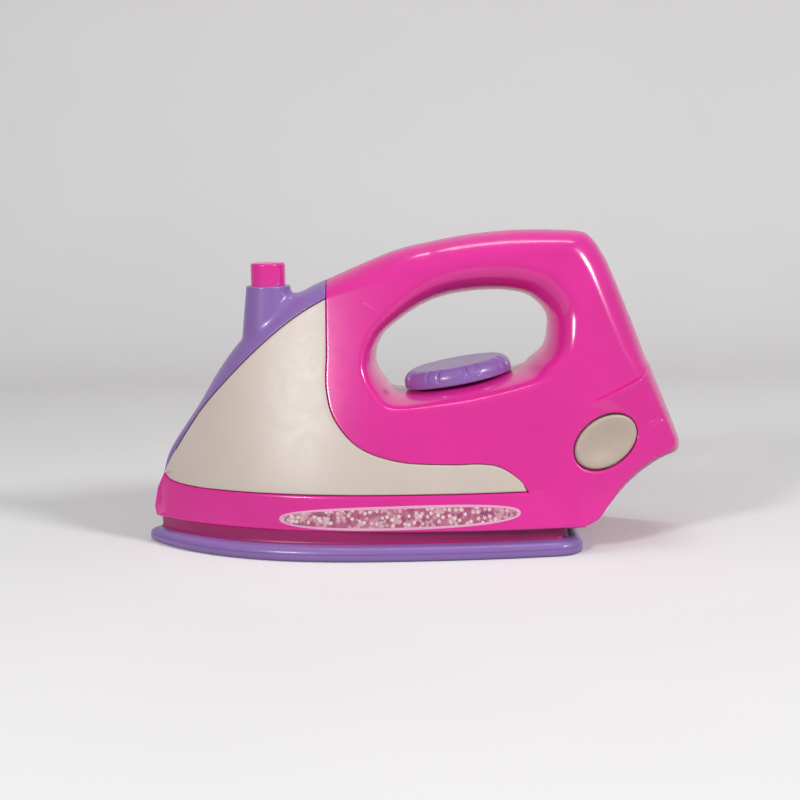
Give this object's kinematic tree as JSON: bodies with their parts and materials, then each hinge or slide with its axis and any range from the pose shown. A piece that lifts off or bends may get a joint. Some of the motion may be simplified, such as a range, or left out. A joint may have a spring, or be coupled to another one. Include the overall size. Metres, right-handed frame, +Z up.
{
  "type": "toy iron",
  "caption": "Child's toy steam iron: hollow handle ring, inset side panels, tank cover with spray button, turning dial, oval push buttons and a flat sole plate.",
  "frame": {"origin": "centre of the bounding box, on the underside of the sole", "axes": "+Z up, -X towards the nose, +X towards the tail, Y across the iron"},
  "size_m": [0.2112, 0.0968, 0.1213],
  "materials": {
    "pink": "glossy",
    "off_white": "satin",
    "lavender": "satin",
    "pale_grey": "satin",
    "print": "glossy",
    "steel": "plain"
  },
  "bodies": {
    "body": {"left_shell": "pink", "right_shell": "pink", "left_side_panel": "off_white", "right_side_panel": "off_white", "tank_cover": "lavender", "spray_spring": "steel", "spray_retainer": "lavender", "left_button_spring": "steel", "right_button_spring": "steel", "button_carrier": "pale_grey", "left_sticker": "print", "right_sticker": "print", "base_frame": "pink", "sole_plate": "lavender", "sole_screws": "steel", "shell_screws": "steel"},
    "spray_button": {"spray_button": "pink"},
    "left_side_button": {"left_side_button": "pale_grey"},
    "right_side_button": {"right_side_button": "pale_grey"},
    "temperature_dial": {"temperature_dial": "lavender", "dial_washer": "steel", "dial_screw": "steel"}
  },
  "joints": [
    {"name": "dial_turn", "type": "hinge", "parent": "body", "child": "temperature_dial", "pos_m": [0.019, 0, 0.06261], "axis": [-0.1702, 0, 0.9854], "continuous": true},
    {"name": "spray_press", "type": "slide", "parent": "body", "child": "spray_button", "axis": [0, 0, -1], "range_m": [0, 0.004], "stiffness_N_per_m": 300, "springref_m": -0.003, "deforming": ["spray_spring"]},
    {"name": "left_button_press", "type": "slide", "parent": "body", "child": "left_side_button", "axis": [-0.2577, 0.9494, -0.1792], "range_m": [0, 0.0025], "stiffness_N_per_m": 300, "springref_m": -0.003, "deforming": ["left_button_spring"]},
    {"name": "right_button_press", "type": "slide", "parent": "body", "child": "right_side_button", "axis": [-0.2577, -0.9494, -0.1792], "range_m": [0, 0.0025], "stiffness_N_per_m": 300, "springref_m": -0.003, "deforming": ["right_button_spring"]}
  ]
}
